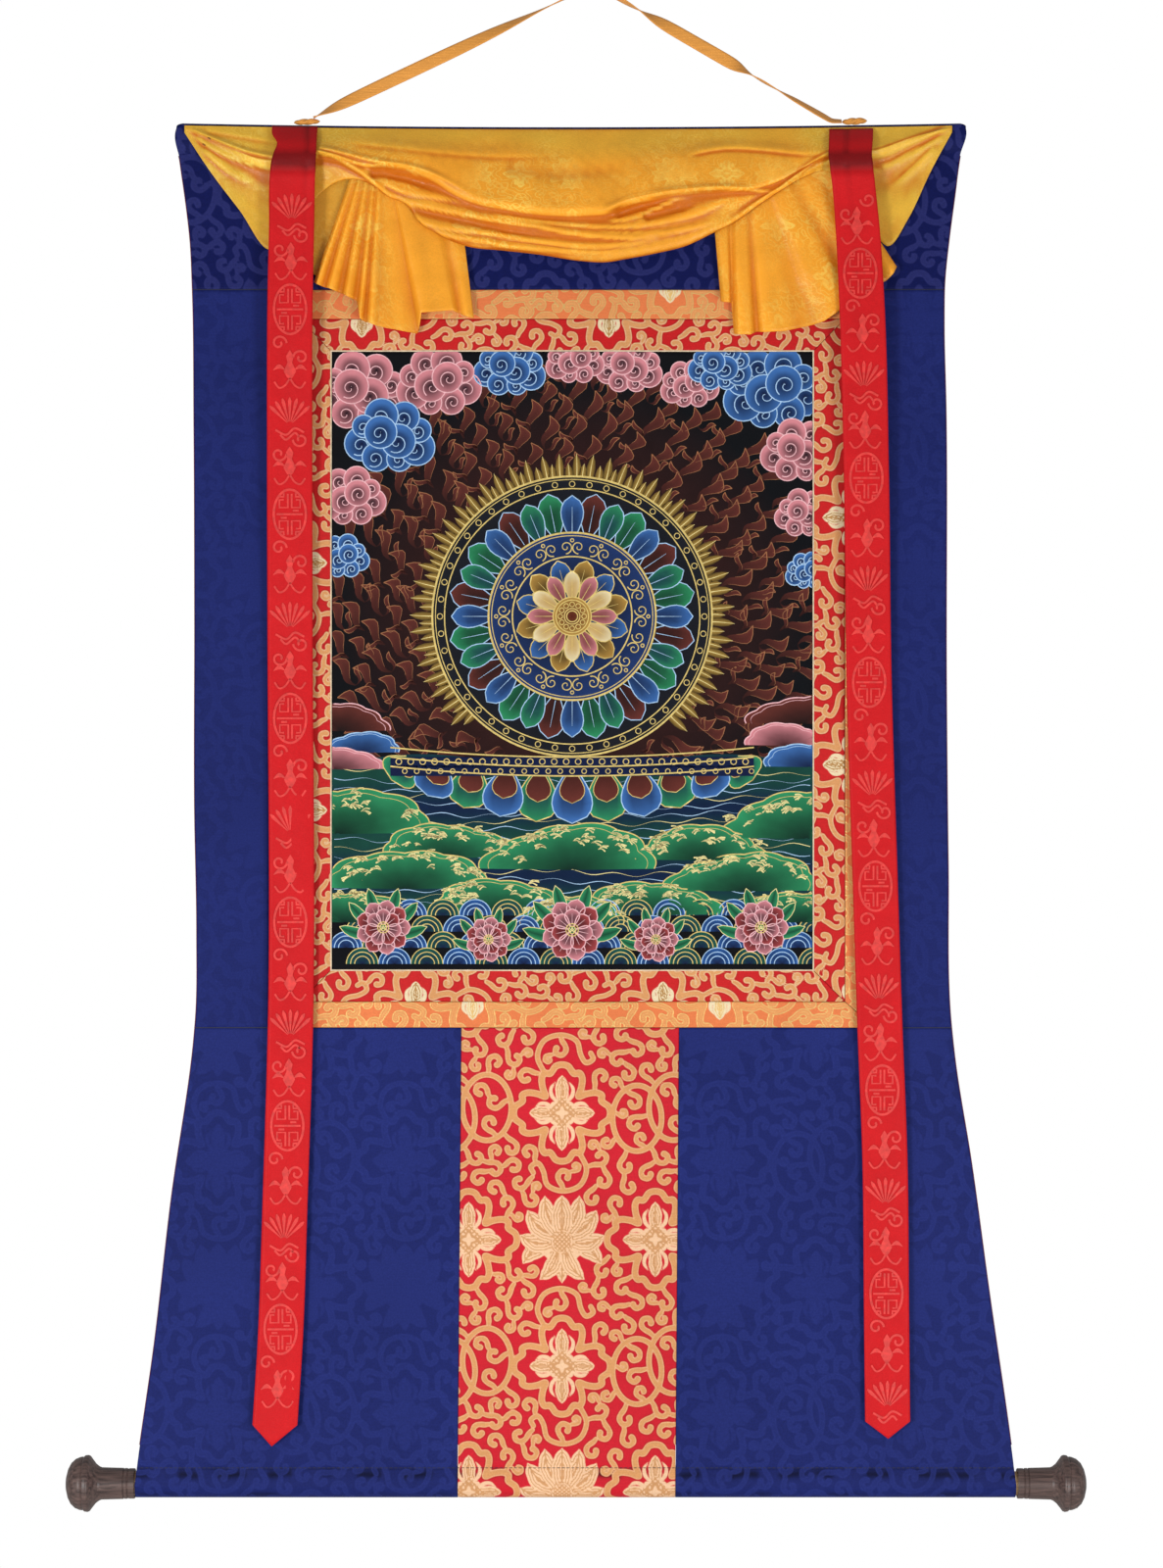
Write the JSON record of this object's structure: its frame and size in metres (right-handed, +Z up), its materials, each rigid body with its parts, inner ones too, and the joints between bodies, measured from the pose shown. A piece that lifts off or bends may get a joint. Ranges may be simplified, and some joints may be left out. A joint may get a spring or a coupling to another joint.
{
  "type": "thangka scroll painting",
  "caption": "Hanging scroll: a painted canvas in brocade borders and panels, with a gathered silk veil, ribbons, a bottom dowel with turned knobs and a hanging tape.",
  "frame": {"origin": "the point of the wall hook that the tape's apex hangs over, under the tape, with the cloth's centre line 18.9 mm to its left", "axes": "+Z up, -Y out of the painting's face towards the viewer, +Y to the wall, +X to the viewer's right"},
  "size_m": [0.8564, 0.0609, 1.2778],
  "materials": {
    "navy_brocade": "figured silk brocade, navy on navy",
    "red_brocade": "red silk brocade with gold scrolls",
    "orange_brocade": "orange silk brocade with gold outlines",
    "painted_canvas": "primed cotton canvas with matt paint and gold lines",
    "maroon_backing": "plain cotton",
    "veil_satin": "thin satin damask, glossy",
    "ribbon_damask": "satin damask",
    "dark_turned_wood": "dark stained and waxed",
    "pale_dowel_wood": "plain, unfinished",
    "cotton_tape": "flat woven tape"
  },
  "bodies": {
    "root": {"heading_panel": "navy_brocade", "side_panel_left": "navy_brocade", "side_panel_right": "navy_brocade", "lower_panel_left": "navy_brocade", "lower_panel_right": "navy_brocade", "door_panel": "red_brocade", "outer_border_top": "orange_brocade", "outer_border_bottom": "orange_brocade", "outer_border_left": "orange_brocade", "outer_border_right": "orange_brocade", "inner_border_top": "red_brocade", "inner_border_bottom": "red_brocade", "inner_border_left": "red_brocade", "inner_border_right": "red_brocade", "painted_canvas": "painted_canvas", "backing_cloth": "maroon_backing", "silk_veil": "veil_satin", "ribbon_left": "ribbon_damask", "ribbon_right": "ribbon_damask", "bottom_dowel": "pale_dowel_wood", "knob_left": "dark_turned_wood", "knob_right": "dark_turned_wood", "hanging_tape": "cotton_tape", "tape_knot_left": "cotton_tape", "tape_knot_right": "cotton_tape"}
  },
  "joints": []
}
